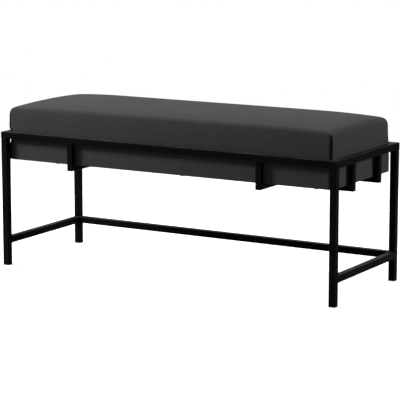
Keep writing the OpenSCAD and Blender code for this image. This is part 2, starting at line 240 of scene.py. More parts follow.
def make_fine_grain():
    """Close grain of a coated or moulded skin: a height for bump, and a slow change of tone."""
    w, given, out = shader_group(
        "fine_grain", {"Grain Size": 0.001, "Patch Size": 0.08}, {"Height": "Float", "Tone": "Float"}
    )
    place = w.place()
    grain = w.noise(place, w.math("DIVIDE", 1.0, given["Grain Size"]), detail=3.0, roughness=0.55)
    patches = w.noise(place, w.math("DIVIDE", 1.0, given["Patch Size"]), detail=2.0)
    w.feed(out["Height"], grain)
    w.feed(out["Tone"], patches)
    return w.tree


def make_dust_and_top_highlight():
    """Mask of the faint dust that lies on faces that look up, which also serves as a painted highlight on
    those faces.
    """
    w, given, out = shader_group("dust_and_top_highlight", {"Amount": 0.1}, {"Mask": "Float"})
    place = w.add("ShaderNodeTexCoord").outputs
    up = w.remap(w.split(place["Normal"])[2], 0.55, 0.98)
    specks = w.remap(w.noise(place["Object"], 2600.0, detail=4.0), 0.25, 0.75)
    drift = w.remap(w.noise(place["Object"], 14.0), 0.3, 0.75, 0.45, 1.0)
    on_top_faces = w.times(w.times(up, drift), specks)
    w.feed(out["Mask"], w.times(on_top_faces, given["Amount"], clamp=True))
    return w.tree


def make_plain_weave():
    """Plain weave on a map in metres: yarns pass over and under by turns, each with its own slub."""
    w, given, out = shader_group(
        "plain_weave", {"Vector": (0.0, 0.0, 0.0), "Yarns": 1400.0, "Slub": 0.5},
        {"Height": "Float", "Tone": "Float"},
    )
    cloth = w.vector("SCALE", given["Vector"], given["Yarns"])
    u, v, _ = w.split(cloth)
    turn_u = w.math("SINE", w.times(w.math("FRACT", u), math.pi))
    turn_v = w.math("SINE", w.times(w.math("FRACT", v), math.pi))
    across, along = w.math("FLOOR", u), w.math("FLOOR", v)
    warp = w.math("FLOORED_MODULO", w.math("ADD", across, along), 2.0)
    warp_height = w.times(turn_u, w.math("MULTIPLY_ADD", turn_v, 0.5, 0.5))
    weft_height = w.times(turn_v, w.math("MULTIPLY_ADD", turn_u, 0.5, 0.5))
    rise = w.math("SUBTRACT", warp_height, weft_height)
    height = w.math("MULTIPLY_ADD", rise, warp, weft_height)
    warp_slub = w.noise(w.join(across, w.times(along, 0.02), 1.7), 0.9)
    weft_slub = w.noise(w.join(w.times(across, 0.02), along, 8.3), 0.9)
    slub = w.math("MULTIPLY_ADD", w.math("SUBTRACT", warp_slub, weft_slub), warp, weft_slub)
    tone = w.math("MULTIPLY_ADD", w.math("SUBTRACT", slub, 0.5), given["Slub"], 0.5)
    w.feed(out["Height"], height)
    w.feed(out["Tone"], tone)
    return w.tree


def make_veneer_grain():
    """Grain of one veneer running along X of its vector: long fibres and slow growth bands."""
    w, given, out = shader_group(
        "veneer_grain", {"Vector": (0.0, 0.0, 0.0)}, {"Bands": "Float", "Fibres": "Float"}
    )
    drawn = w.vector("MULTIPLY", given["Vector"], (1.6, 30.0, 30.0))
    bands = w.noise(drawn, 1.0, detail=3.0, distortion=0.8)
    fine = w.vector("MULTIPLY", given["Vector"], (30.0, 1400.0, 1400.0))
    w.feed(out["Bands"], bands)
    w.feed(out["Fibres"], w.noise(fine, 1.0, detail=2.0))
    return w.tree


edge_wear = make_edge_wear()
fine_grain = make_fine_grain()
dust_and_top_highlight = make_dust_and_top_highlight()
plain_weave = make_plain_weave()
veneer_grain = make_veneer_grain()


# -------- materials

class Finish(Wiring):
    """A material with one Principled shader. Words are its sockets' fixed values, spaces as underscores."""

    def __init__(self, name, **constants):
        self.material = bpy.data.materials.new(name)
        self.material.use_nodes = True
        super().__init__(self.material.node_tree)
        self.shader = self.tree.nodes["Principled BSDF"].inputs
        for label, value in constants.items():
            self.shader[label.replace("_", " ")].default_value = value

    def group(self, tree, **inputs):
        node = self.add("ShaderNodeGroup", node_tree=tree)
        for label, value in inputs.items():
            self.feed(node.inputs[label.replace("_", " ")], value)
        return node.outputs

    def colour(self, value):
        self.feed(self.shader["Base Color"], value)

    def roughness(self, value):
        self.feed(self.shader["Roughness"], value)

    def relief(self, height, depth, strength=1.0):
        """Bump of a surface whose height goes from 0 to 1 over that depth."""
        inputs = {"Height": height, "Distance": depth, "Strength": strength}
        self.feed(self.shader["Normal"], self.add("ShaderNodeBump", inputs).outputs[0])


def powder_coat():
    """Satin black powder coat: faint orange peel, edges rubbed smoother, dust and a painted highlight on
    faces that look up.
    """
    w = Finish("powder_coat", Specular_IOR_Level=0.035)
    grain = w.group(fine_grain, Grain_Size=0.0011, Patch_Size=0.11)
    worn = w.group(edge_wear, Amount=0.5, Patch_Size=0.016)["Mask"]
    dust_and_highlight = w.group(dust_and_top_highlight, Amount=0.42)["Mask"]
    coat = w.mix(grain["Tone"], (0.0034, 0.0034, 0.0036), (0.0052, 0.0052, 0.0054))
    coat = w.mix(worn, coat, (0.024, 0.024, 0.025))
    # dust and painted highlight: faces that look up are lightened towards grey
    w.colour(w.mix(dust_and_highlight, coat, (0.20, 0.195, 0.185)))
    satin = w.remap(grain["Tone"], 0.3, 0.7, 0.40, 0.50)
    polished = w.math("MULTIPLY_ADD", worn, -0.10, satin)
    w.roughness(w.math("MULTIPLY_ADD", dust_and_highlight, 0.6, polished, clamp=True))
    w.relief(grain["Height"], 0.06 * MM)
    return w.material


def glide_plastic():
    """Black moulded polythene with a spark-eroded grain, scuffed where it meets the floor."""
    w = Finish("glide_plastic", Specular_IOR_Level=0.35)
    grain = w.group(fine_grain, Grain_Size=0.0005, Patch_Size=0.01)
    worn = w.group(edge_wear, Amount=0.7, Patch_Size=0.004)["Mask"]
    base = w.mix(grain["Tone"], 0.008, 0.015)
    w.colour(w.mix(worn, base, 0.05))
    w.roughness(w.remap(grain["Height"], 0.3, 0.7, 0.5, 0.68))
    w.relief(grain["Height"], 0.08 * MM)
    return w.material


def seat_fabric():
    """Charcoal plain weave on the cover's own map, with painted shade between the yarns and down in the seam
    grooves.
    """
    w = Finish(
        "seat_fabric", Specular_IOR_Level=0.08, Sheen_Weight=0.04, Sheen_Roughness=0.5, Roughness=0.95
    )
    cloth = w.add("ShaderNodeUVMap", uv_map="cloth").outputs[0]
    weave = w.group(plain_weave, Vector=cloth, Yarns=1250.0, Slub=0.9)
    place = w.place()
    seam = w.add("ShaderNodeAttribute", attribute_name="seam").outputs["Fac"]
    yarn = w.mix(w.remap(weave["Tone"], 0.2, 0.8), (0.040, 0.0405, 0.042), (0.062, 0.0625, 0.064))
    # painted shade: the yarn colour darkens towards near black where the weave lies low, between the yarns
    weave_unshaded_share = w.remap(weave["Height"], 0.0, 0.45, 0.62, 1.0)
    yarn = w.mix(w.math("SUBTRACT", 1.0, weave_unshaded_share), yarn, (0.018, 0.018, 0.019))
    slow = w.remap(w.noise(place, 5.0, detail=3.0), 0.3, 0.7, 0.0, 0.14)
    yarn = w.mix(slow, yarn, (0.072, 0.0725, 0.074))
    # painted shade: the cloth darkens towards near black down in each corner seam groove
    painted_seam_shade = w.remap(seam, 0.12, 0.75)
    w.colour(w.mix(painted_seam_shade, yarn, (0.006, 0.006, 0.0063)))
    nap = w.noise(place, 2600.0, detail=2.0)
    height = w.math("MULTIPLY_ADD", nap, 0.25, weave["Height"])
    w.relief(height, 0.16 * MM, 0.8)
    return w.material


def stitch_thread():
    """Bonded polyester thread, twisted, a shade darker than the cover."""
    w = Finish("stitch_thread", Specular_IOR_Level=0.3, Roughness=0.6)
    waves = {"Vector": w.place(), "Scale": 900.0, "Distortion": 1.0}
    twist = w.add("ShaderNodeTexWave", waves).outputs["Fac"]
    w.colour(w.mix(twist, (0.012, 0.012, 0.013), (0.030, 0.030, 0.032)))
    w.relief(twist, 0.08 * MM)
    return w.material


def lining():
    """Black spunbond cloth: matted fibres pressed together at a lattice of small bond points."""
    w = Finish("lining", Specular_IOR_Level=0.25, Sheen_Weight=0.12, Roughness=0.85)
    cloth = w.add("ShaderNodeUVMap", uv_map="cloth").outputs[0]
    turned = w.add("ShaderNodeMapping", {"Vector": cloth, "Rotation": (0.0, 0.0, math.radians(45))})
    lattice = w.vector("FRACTION", w.vector("SCALE", turned.outputs[0], 620.0))
    u, v, _ = w.split(lattice)
    from_u, from_v = w.math("SUBTRACT", u, 0.5), w.math("SUBTRACT", v, 0.5)
    away = w.math("SQRT", w.math("ADD", w.math("POWER", from_u, 2.0), w.math("POWER", from_v, 2.0)))
    bond = w.remap(away, 0.30, 0.18)
    fibres = w.noise(cloth, 1600.0, detail=5.0, roughness=0.7, distortion=2.5)
    tone = w.mix(fibres, (0.010, 0.010, 0.011), (0.032, 0.032, 0.034))
    w.colour(w.mix(bond, tone, (0.008, 0.008, 0.009)))
    w.roughness(w.remap(bond, 0.0, 1.0, 0.88, 0.5))
    height = w.math("MULTIPLY_ADD", bond, -0.8, fibres)
    w.relief(height, 0.12 * MM)
    return w.material


def plywood(name, turn, ply=1.5 * MM):
    """Birch plywood, its plies stacked along Z of the turned piece, their grain crossing by turns."""
    w = Finish(name, Specular_IOR_Level=0.3)
    own = w.add("ShaderNodeMapping", {"Vector": w.place(), "Rotation": turn}).outputs[0]
    x, y, z = w.split(own)
    stack = w.math("DIVIDE", z, ply)
    crossed = w.math("FLOORED_MODULO", w.math("FLOOR", stack), 2.0)
    glue = w.remap(w.math("PINGPONG", stack, 0.5), 0.10, 0.03)
    straight = w.group(veneer_grain, Vector=own)
    across = w.group(veneer_grain, Vector=w.join(y, x, z))
    bands = w.mix(crossed, straight["Bands"], across["Bands"])
    fibres = w.mix(crossed, straight["Fibres"], across["Fibres"])
    wood = w.mix(w.remap(bands, 0.3, 0.7), (0.62, 0.42, 0.22), (0.46, 0.28, 0.13))
    wood = w.mix(w.remap(fibres, 0.35, 0.75, 0.0, 0.35), wood, (0.33, 0.19, 0.09))
    wood = w.mix(w.times(crossed, 0.25), wood, (0.40, 0.24, 0.11))
    w.colour(w.mix(glue, wood, (0.10, 0.045, 0.02)))
    w.roughness(w.remap(fibres, 0.3, 0.7, 0.55, 0.72))
    w.relief(fibres, 0.08 * MM)
    return w.material


def foam():
    """Cream polyurethane foam with open cells, with painted shade in each pore."""
    w = Finish("foam", Specular_IOR_Level=0.1, Roughness=0.95)
    place = w.place()
    cells = w.add("ShaderNodeTexVoronoi", {"Vector": place, "Scale": 900.0}).outputs["Distance"]
    tone = w.noise(place, 9.0)
    cream = w.mix(tone, (0.80, 0.73, 0.55), (0.72, 0.62, 0.40))
    # painted shade: the cream darkens in the pore at each cell's middle
    w.colour(w.mix(w.remap(cells, 0.5, 0.05), cream, (0.42, 0.35, 0.20)))
    w.relief(cells, 0.5 * MM)
    return w.material


def wadding():
    """White polyester wadding: loose fibres that run every way."""
    w = Finish("wadding", Specular_IOR_Level=0.15, Sheen_Weight=0.3, Roughness=0.95)
    fibres = w.noise(w.place(), 420.0, detail=6.0, roughness=0.75, distortion=3.0)
    w.colour(w.mix(fibres, (0.62, 0.62, 0.60), (0.90, 0.90, 0.88)))
    w.relief(fibres, 0.8 * MM)
    return w.material


def zinc():
    """Bright zinc plate with faint crystals and a rubbed edge."""
    w = Finish("zinc", Metallic=1.0)
    grain = w.group(fine_grain, Grain_Size=0.0008, Patch_Size=0.006)
    crystals = w.add("ShaderNodeTexVoronoi", {"Vector": w.place(), "Scale": 700.0}).outputs["Color"]
    tint = w.mix(grain["Tone"], (0.50, 0.52, 0.55), (0.62, 0.62, 0.60))
    w.colour(w.mix(0.12, tint, crystals))
    w.roughness(w.remap(grain["Tone"], 0.3, 0.7, 0.28, 0.42))
    w.relief(grain["Height"], 0.03 * MM)
    return w.material


def emptied(block):
    """Wiring of a material or a world whose tree has been cleared."""
    block.use_nodes = True
    block.node_tree.nodes.clear()
    return Wiring(block.node_tree)


def studio_floor():
    """Pale matt floor that fades into the white surround, and isn't there when seen from below."""
    material = bpy.data.materials.new("studio_floor")
    w = emptied(material)
    place = w.place()
    pale = w.mix(w.noise(place, 3.0), FLOOR_TONE, FLOOR_PATCH)
    eye = w.add("ShaderNodeLightPath").outputs["Is Camera Ray"]
    matt = w.add("ShaderNodeBsdfDiffuse", {"Color": w.mix(eye, FLOOR_BOUNCE, pale)}).outputs[0]
    lift = w.add("ShaderNodeEmission", {"Strength": w.times(eye, FLOOR_LIFT)}).outputs[0]
    lit = w.add("ShaderNodeAddShader", {0: matt, 1: lift}).outputs[0]
    clear = w.add("ShaderNodeBsdfTransparent").outputs[0]
    away = w.add("ShaderNodeVectorMath", {0: place}, operation="LENGTH").outputs["Value"]
    gone = w.remap(away, FLOOR_NEAR, FLOOR_FAR)
    below = w.add("ShaderNodeNewGeometry").outputs["Backfacing"]
    hidden = w.math("MAXIMUM", gone, below)
    mixed = w.add("ShaderNodeMixShader", {0: hidden, 1: lit, 2: clear})
    w.add("ShaderNodeOutputMaterial", {"Surface": mixed.outputs[0]})
    return material


# -------- studio

FLOOR_TONE = 0.80
FLOOR_PATCH = 0.785
FLOOR_BOUNCE = 0.28
FLOOR_LIFT = 0.75
FLOOR_NEAR = 1.3
FLOOR_FAR = 2.4
FLOOR_HALF = 1.2 * FLOOR_FAR
CAMERA_PLACE = (2.90673, -4.94317, 1.25940)
CAMERA_DOWN = math.radians(10.326)
CAMERA_TURN = math.radians(30.361)
CAMERA_LENS = 180.65
SENSOR = 36.0
FAR = 60.0
AIM = Vector((0.0, 0.0, 0.35))


def add_object(name, data):
    added = bpy.data.objects.new(name, data)
    bpy.context.collection.objects.link(added)
    return added


def add_camera():
    data = bpy.data.cameras.new("camera")
    data.lens = CAMERA_LENS
    data.sensor_width = SENSOR
    data.clip_end = FAR
    camera = add_object("camera", data)
    camera.location = CAMERA_PLACE
    camera.rotation_euler = (math.pi / 2 - CAMERA_DOWN, 0.0, CAMERA_TURN)
    bpy.context.scene.camera = camera


def add_softbox(name, place, size, power):
    """Rectangular soft light that faces the bench."""
    data = bpy.data.lights.new(name, "AREA")
    data.shape = "RECTANGLE"
    data.size, data.size_y = size
    data.energy = power
    light = add_object(name, data)
    light.location = place
    light.rotation_euler = (AIM - Vector(place)).to_track_quat("-Z", "Y").to_euler()


def add_surround(seen, lighting):
    """White surround to the eye, dimmer as a light."""
    world = bpy.data.worlds.new("surround")
    w = emptied(world)
    eye = w.add("ShaderNodeLightPath").outputs["Is Camera Ray"]
    strength = w.remap(eye, 0.0, 1.0, lighting, seen, kind="LINEAR")
    white = w.add("ShaderNodeBackground", {"Color": (1, 1, 1, 1), "Strength": strength})
    w.add("ShaderNodeOutputWorld", {"Surface": white.outputs[0]})
    bpy.context.scene.world = world


def add_floor():
    mesh = bpy.data.meshes.new("floor")
    r = FLOOR_HALF
    mesh.from_pydata([(-r, -r, 0), (r, -r, 0), (r, r, 0), (-r, r, 0)], [], [(0, 1, 2, 3)])
    mesh.materials.append(studio_floor())
    add_object("floor", mesh)


add_camera()
add_floor()
add_surround(seen=1.0, lighting=0.10)
add_softbox("overhead", place=(-1.1, 0.8, 3.4), size=(3.2, 2.2), power=92.0)
add_softbox("key", place=(-2.3, -1.5, 1.7), size=(0.9, 0.9), power=88.0)
add_softbox("right_fill", place=(2.9, 0.8, 1.2), size=(1.0, 1.0), power=43.0)
add_softbox("rear_fill", place=(-1.2, 3.4, 1.9), size=(2.0, 1.4), power=14.0)
bpy.context.scene.view_settings.view_transform = "Standard"
bpy.context.scene.cycles.use_denoising = True


# -------- trees that lay out what repeats

class Layout(Wiring):
    """A geometry tree with named sizes, and the modifier that runs it."""

    def __init__(self, name, sizes):
        tree = bpy.data.node_groups.new(name, "GeometryNodeTree")
        super().__init__(tree)
        add_socket(tree, "Geometry", "Geometry")
        self.keys = {label: add_socket(tree, label, "Float", value) for label, value in sizes.items()}
        self.keys["Finish"] = add_socket(tree, "Finish", "Material")
        add_socket(tree, "Geometry", "Geometry", way="OUTPUT")
        self.given = self.add("NodeGroupInput").outputs

    def finish(self, instances):
        """Makes the instances real and gives them their finish."""
        real = self.add("GeometryNodeRealizeInstances", {"Geometry": instances}).outputs[0]
        dressed = self.add("GeometryNodeSetMaterial", {"Geometry": real, "Material": self.given["Finish"]})
        self.add("NodeGroupOutput", {"Geometry": dressed.outputs[0]})

    def repeated(self, points, shape, turn, scale=(1.0, 1.0, 1.0)):
        inputs = {"Points": points, "Instance": shape, "Rotation": turn, "Scale": scale}
        return self.add("GeometryNodeInstanceOnPoints", inputs).outputs[0]

    def run(self, name, carrier, finish, **sizes):
        """The plain mesh that this tree makes of a carrier mesh."""
        piece = add_object(name, carrier)
        modifier = piece.modifiers.new("layout", "NODES")
        modifier.node_group = self.tree
        for label, value in sizes.items():
            modifier[self.keys[label]] = value
        modifier[self.keys["Finish"]] = finish
        apply_modifiers(piece)
        piece.data.shade_smooth()
        return piece


def make_staple_layout():
    """A round-wire staple at each point, its crown along the point's own direction and its legs up."""
    t = Layout("staples", {"Width": 10 * MM, "Leg": 7 * MM, "Wire": STAPLE_WIRE, "Bend": 0.9 * MM})
    line = t.add("GeometryNodeMeshLine", {"Count": 4, "Offset": (0.0, 0.0, 0.0)}).outputs[0]
    index = t.add("GeometryNodeInputIndex").outputs[0]
    half = t.math("DIVIDE", t.math("SUBTRACT", t.given["Width"], t.given["Wire"]), 2.0)
    right = t.math("GREATER_THAN", index, 1.5)
    x = t.times(t.math("MULTIPLY_ADD", right, 2.0, -1.0), half)
    middle = t.math("COMPARE", index, 1.5, 0.6)
    z = t.times(t.math("SUBTRACT", 1.0, middle), t.given["Leg"])
    bent = t.add("GeometryNodeSetPosition", {"Geometry": line, "Position": t.join(x, 0.0, z)}).outputs[0]
    path = t.add("GeometryNodeMeshToCurve", {"Mesh": bent}).outputs[0]
    rounded = {"Curve": path, "Radius": t.given["Bend"], "Count": 2}
    eased = t.add("GeometryNodeFilletCurve", rounded, mode="POLY")
    wire = t.add("GeometryNodeCurvePrimitiveCircle", {"Resolution": 6})
    t.feed(wire.inputs["Radius"], t.times(t.given["Wire"], 0.5))
    swept = {"Curve": eased.outputs[0], "Profile Curve": wire.outputs[0], "Fill Caps": True}
    staple = t.add("GeometryNodeCurveToMesh", swept).outputs[0]
    along = t.add("GeometryNodeInputNamedAttribute", {"Name": "along"}, data_type="FLOAT_VECTOR").outputs[0]
    turn = t.add("FunctionNodeAlignRotationToVector", {"Vector": along}, axis="X", pivot_axis="Z").outputs[0]
    t.finish(t.repeated(t.given["Geometry"], staple, turn))
    return t


def make_run_layout(name, sizes):
    """A small rounded shape at even steps along each path, Length along the path and Width across it."""
    t = Layout(name, sizes)
    path = t.add("GeometryNodeMeshToCurve", {"Mesh": t.given["Geometry"]}).outputs[0]
    spaced = {"Curve": path, "Length": t.given["Pitch"]}
    even = t.add("GeometryNodeResampleCurve", spaced, mode="LENGTH")
    tangent = t.add("GeometryNodeInputTangent").outputs[0]
    turn = t.add("FunctionNodeAlignRotationToVector", {"Vector": tangent}, axis="Z").outputs[0]
    ball = t.add("GeometryNodeMeshUVSphere", {"Segments": 8, "Rings": 5, "Radius": 0.5}).outputs[0]
    size = t.join(t.given["Width"], t.given["Width"], t.given["Length"])
    t.finish(t.repeated(even.outputs[0], ball, turn, size))
    return t


# -------- meshes

def mesh_object(name, points, faces, material, uvs=None):
    """A piece from numpy points and faces, with a map in metres if uvs gives one pair per face corner."""
    mesh = bpy.data.meshes.new(name)
    mesh.from_pydata(np.asarray(points).tolist(), [], faces)
    if uvs is not None:
        layer = mesh.uv_layers.new(name="cloth")
        layer.data.foreach_set("uv", np.asarray(uvs, np.float32).ravel())
    mesh.materials.append(material)
    mesh.shade_smooth()
    return add_object(name, mesh)


def coordinates(mesh, kind="co"):
    """A mesh's points, or with "normal" the way each looks."""
    flat = np.empty(3 * len(mesh.vertices), np.float32)
    mesh.vertices.foreach_get(kind, flat)
    return flat.reshape(-1, 3).astype(float)


def set_coordinates(mesh, points):
    mesh.vertices.foreach_set("co", np.asarray(points, np.float32).ravel())
    mesh.update()


def apply_modifiers(piece):
    """Makes the piece's modifiers part of its mesh."""
    seen = piece.evaluated_get(bpy.context.evaluated_depsgraph_get())
    mesh = bpy.data.meshes.new_from_object(seen)
    piece.modifiers.clear()
    piece.data = mesh


def thicken(piece, thickness, offset):
    thick = piece.modifiers.new("thickness", "SOLIDIFY")
    thick.thickness, thick.offset = thickness, offset
    apply_modifiers(piece)


def grid_cells(columns, rows, turned=False):
    """Corners of each cell of a grid as (column, row), looking the other way if turned."""
    for i in range(columns - 1):
        for j in range(rows - 1):
            corners = [(i, j), (i + 1, j), (i + 1, j + 1), (i, j + 1)]
            yield [corners[0], *corners[:0:-1]] if turned else corners


def grid_ring(columns, rows):
    """Grid points round the edge, anticlockwise from the front left corner."""
    last_i, last_j = columns - 1, rows - 1
    front = [(i, 0) for i in range(last_i)]
    right = [(last_i, j) for j in range(last_j)]
    rear = [(i, last_j) for i in range(last_i, 0, -1)]
    left = [(0, j) for j in range(last_j, 0, -1)]
    return front + right + rear + left


def strip(first, second, turned=False):
    """Faces between two rings of points, looking the other way if turned."""
    faces = []
    for k in range(len(first)):
        n = (k + 1) % len(first)
        face = [first[k], second[k], second[n], first[n]]
        faces.append([face[0], *face[:0:-1]] if turned else face)
    return faces


def dress(names, material):
    """Gives CAD nodes a material."""
    for name in names:
        for slot in nodes[name].material_slots:
            slot.material = material


# -------- upholstery

def smooth(value, low, high):
    t = np.clip((value - low) / (high - low), 0, 1)
    return t * t * (3 - 2 * t)


class Lines:
    """Grid lines along one side of the seat: even over the flat, then closer over each shoulder."""

    def __init__(self, half, radius):
        flat = half - radius
        count = math.ceil(2 * flat / COVER_PITCH)
        middle = np.linspace(-1, 1, count + 1)
        turns = np.array(SHOULDER_TURNS) * math.pi / 2
        self.share = np.concatenate([-np.ones(len(turns)), middle, np.ones(len(turns))])
        self.edge = np.concatenate([-np.sin(turns)[::-1], np.zeros(count + 1), np.sin(turns)])
        self.cloth = self.share * flat + radius * np.arcsin(self.edge)
        self.half, self.radius = half, radius
        self.count = len(self.share)

    def spread(self, inset):
        """(half the flat, radius) of the outline drawn in by inset."""
        radius = max(self.radius - inset, LEAST_RADIUS)
        return self.half - inset - radius, radius


class SeatForm:
    """The seat's outer form, drawn in by inset all round and at the top."""

    def __init__(self, inset=0.0):
        self.inset = inset
        self.along = Lines(HALF_L - inset, END_SHOULDER - inset)
        self.across = Lines(HALF_D - inset, FRONT_SHOULDER - inset)

    def crown(self, x, y):
        """Height of the crown over a point."""
        fall = np.maximum(np.abs(x) - END_START, 0) ** 2 / END_SPAN
        flatter = 1 + END_FLATTEN * (1 - (y / HALF_D) ** 2)
        fuller = FULLER_RIGHT * smooth(x, -END_START, END_START)
        return CROWN_Z - self.inset - y ** 2 / CROWN_SPAN - fall * flatter + fuller

    def plan(self, i, j, inset=0.0, square=False):
        """Place of grid lines i and j on the outline drawn in by inset, and its share of the shoulder."""
        edge_x, edge_y = self.along.edge[i], self.across.edge[j]
        size_x, size_y = np.abs(edge_x), np.abs(edge_y)
        reach = np.maximum(size_x, size_y)
        norm = (size_x ** CORNER_POWER + size_y ** CORNER_POWER) ** (1 / CORNER_POWER)
        pull = np.where((norm > 0) & (not square), reach / np.maximum(norm, TINY), 1.0)
        flat_x, radius_x = self.along.spread(inset)
        flat_y, radius_y = self.across.spread(inset)
        x = self.along.share[i] * flat_x + edge_x * pull * radius_x
        y = self.across.share[j] * flat_y + edge_y * pull * radius_y
        weight_x, weight_y = size_x ** CORNER_POWER, size_y ** CORNER_POWER
        total = np.maximum(weight_x + weight_y, TINY)
        radius = (weight_x * self.along.radius + weight_y * self.across.radius) / total
        return x, y, reach, radius

    def top(self):
        """Grid of points over the crown and its shoulders."""
        i, j = np.meshgrid(np.arange(self.along.count), np.arange(self.across.count), indexing="ij")
        x, y, reach, radius = self.plan(i, j)
        z = self.crown(x, y) - radius * (1 - np.sqrt(np.maximum(1 - reach ** 2, 0)))
        return np.stack([x, y, z], axis=-1)

    def ring(self):
        return grid_ring(self.along.count, self.across.count)

    def cloth_place(self, i, j, along_side, down):
        """Where a point that hangs down from a long side or an end lies on the flat cloth."""
        u, v = self.along.cloth[i], self.across.cloth[j]
        if along_side:
            return u, v + math.copysign(down, v)
        return u + math.copysign(down, u), v


def lean(points):
    """Lets the cover stand proud of its box where no rail holds it, most at the left end."""
    x, y, z = points[:, 0], points[:, 1], points[:, 2]
    over = smooth(z, CLEAR_TOP, CLEAR_TOP + EASE_OVER)
    under = 1 - smooth(z, RAIL_LOW - EASE, CLEAR_LOW)
    leftward = LEAN_BETWEEN + (LEAN_OVER - LEAN_BETWEEN) * over + (LEAN_UNDER - LEAN_BETWEEN) * under
    leftward += CORNER_FOLDS * under * smooth(np.abs(y), FOLDS_START, FOLDS_FULL)
    moved = points.copy()
    moved[:, 0] -= leftward * smooth(-x, LEAN_START, HALF_L)
    moved[:, 1] += SIDE_UNDER * under * np.sign(y) * smooth(np.abs(y), SIDE_START, HALF_D)
    return moved


def wall_profile(turn_under):
    """Steps down and under: (share of the wall's height left, inset, height above the bottom)."""
    steps = [(share, 0.0, 0.0) for share in np.linspace(1, 0, WALL_STEPS + 1)[1:]]
    for turn in HEM_TURNS:
        angle = math.radians(turn)
        steps.append((0.0, HEM_RADIUS * (1 - math.cos(angle)), -HEM_RADIUS * math.sin(angle)))
    for share in np.linspace(0, 1, UNDER_STEPS + 1)[1:]:
        steps.append((0.0, HEM_RADIUS + share * (turn_under - HEM_RADIUS), -HEM_RADIUS))
    return steps


def cover_mesh(form, bottom, turn_under, material, name):
    """Skin of the seat from the crown to the edge turned under it, with the cloth's own map."""
    top = form.top()
    columns, rows = top.shape[:2]
    points = list(top.reshape(-1, 3))
    ring = form.ring()
    upper = [i * rows + j for i, j in ring]
    faces, uvs = [], []
    for corners in grid_cells(columns, rows):
        faces.append([i * rows + j for i, j in corners])
        uvs += [(form.along.cloth[i], form.across.cloth[j]) for i, j in corners]
    ring_i, ring_j = np.array(ring).T
    wall_top = np.array([points[k][2] for k in upper])
    floor_z = bottom + HEM_RADIUS
    size = len(ring)
    down = np.zeros(size)
    last = np.array([points[k] for k in upper])
    for share, inset, rise in wall_profile(turn_under):
        z = floor_z + rise + share * (wall_top - floor_z)
        x, y, _, _ = form.plan(ring_i, ring_j, inset)
        square_x, square_y, _, _ = form.plan(ring_i, ring_j, inset, square=True)
        sharp = BOX_CORNER * (1 - smooth(z, RAIL_LOW, RAIL_TOP + EASE))
        place = np.stack([x + sharp * (square_x - x), y + sharp * (square_y - y), z], axis=1)
        step = down + np.linalg.norm(place - last, axis=1)
        lower = [len(points) + k for k in range(size)]
        points += list(place)
        faces += strip(upper, lower)
        for k in range(size):
            n = (k + 1) % size
            along_side = ring[k][1] == ring[n][1]
            for c, gone in ((k, down), (k, step), (n, step), (n, down)):
                uvs.append(form.cloth_place(*ring[c], along_side, gone[c]))
        upper, down, last = lower, step, place
    return mesh_object(name, points, faces, material, uvs)


def seam_lines(cover, form):
    """The cover's own points down each corner seam, top to bottom, with the direction into the seat."""
    points = coordinates(cover.data)
    last_i, last_j = form.along.count - 1, form.across.count - 1
    ring = form.ring()
    corner_count = form.along.count * form.across.count
    for i in (SEAM_SHIFT, last_i - SEAM_SHIFT):
        for j in (0, last_j):
            place = ring.index((i, j))
            own = [i * form.across.count + j]
            own += [corner_count + step * len(ring) + place for step in range(WALL_STEPS)]
            line = points[own]
            side_x, side_y = np.sign(line[-1][:2])
            inward = np.array([-SEAM_SLANT * side_x, -side_y, 0.0])
            yield line, inward / np.linalg.norm(inward)


def seam_grooves(points, seams, width):
    """For each seam: how much a point belongs to its groove, how far it is from it, and the way in."""
    for line, inward in seams:
        order = np.argsort(line[:, 2])
        seam_x = np.interp(points[:, 2], line[order, 2], line[order, 0])
        seam_y = np.interp(points[:, 2], line[order, 2], line[order, 1])
        away = np.hypot(points[:, 0] - seam_x, points[:, 1] - seam_y)
        held = 1 - smooth(points[:, 2], SEAM_TOP - SEAM_FADE, SEAM_TOP + SEAM_FADE)
        yield np.exp(-(away / width) ** 2) * held, away, held, inward


def sew_corners(piece, seams):
    """Draws the cover in along the four corner seams, and marks each seam groove for the material to paint
    shade in.
    """
    mesh = piece.data
    points = coordinates(mesh)
    seam_shade_mask = np.zeros(len(points))
    for groove, away, held, inward in seam_grooves(points.copy(), seams, SEAM_WIDTH):
        lip = np.exp(-((away - LIP_AWAY) / LIP_WIDTH) ** 2) * held
        points += np.outer(SEAM_DEPTH * groove - LIP_RISE * lip, inward)
        # the groove mask, which the seat fabric turns into painted shade
        seam_shade_mask = np.maximum(seam_shade_mask, groove)
    set_coordinates(mesh, points)
    mesh.attributes.new("seam", "FLOAT", "POINT").data.foreach_set("value", seam_shade_mask.astype(np.float32))


def clear_seams(points, seams):
    """Draws padding back from the four seams, so that the cover's groove has room."""
    moved = points.copy()
    for groove, _, _, inward in seam_grooves(points, seams, PADDING_RELIEF):
        moved += np.outer(PADDING_DEPTH * groove, inward)
    return moved


def close_openings(mesh):
    """Fills the open rim of a mesh."""
    work = bmesh.new()
    work.from_mesh(mesh)
    bmesh.ops.edgeloop_fill(work, edges=[e for e in work.edges if e.is_boundary])
    bmesh.ops.recalc_face_normals(work, faces=work.faces)
    work.to_mesh(mesh)
    work.free()


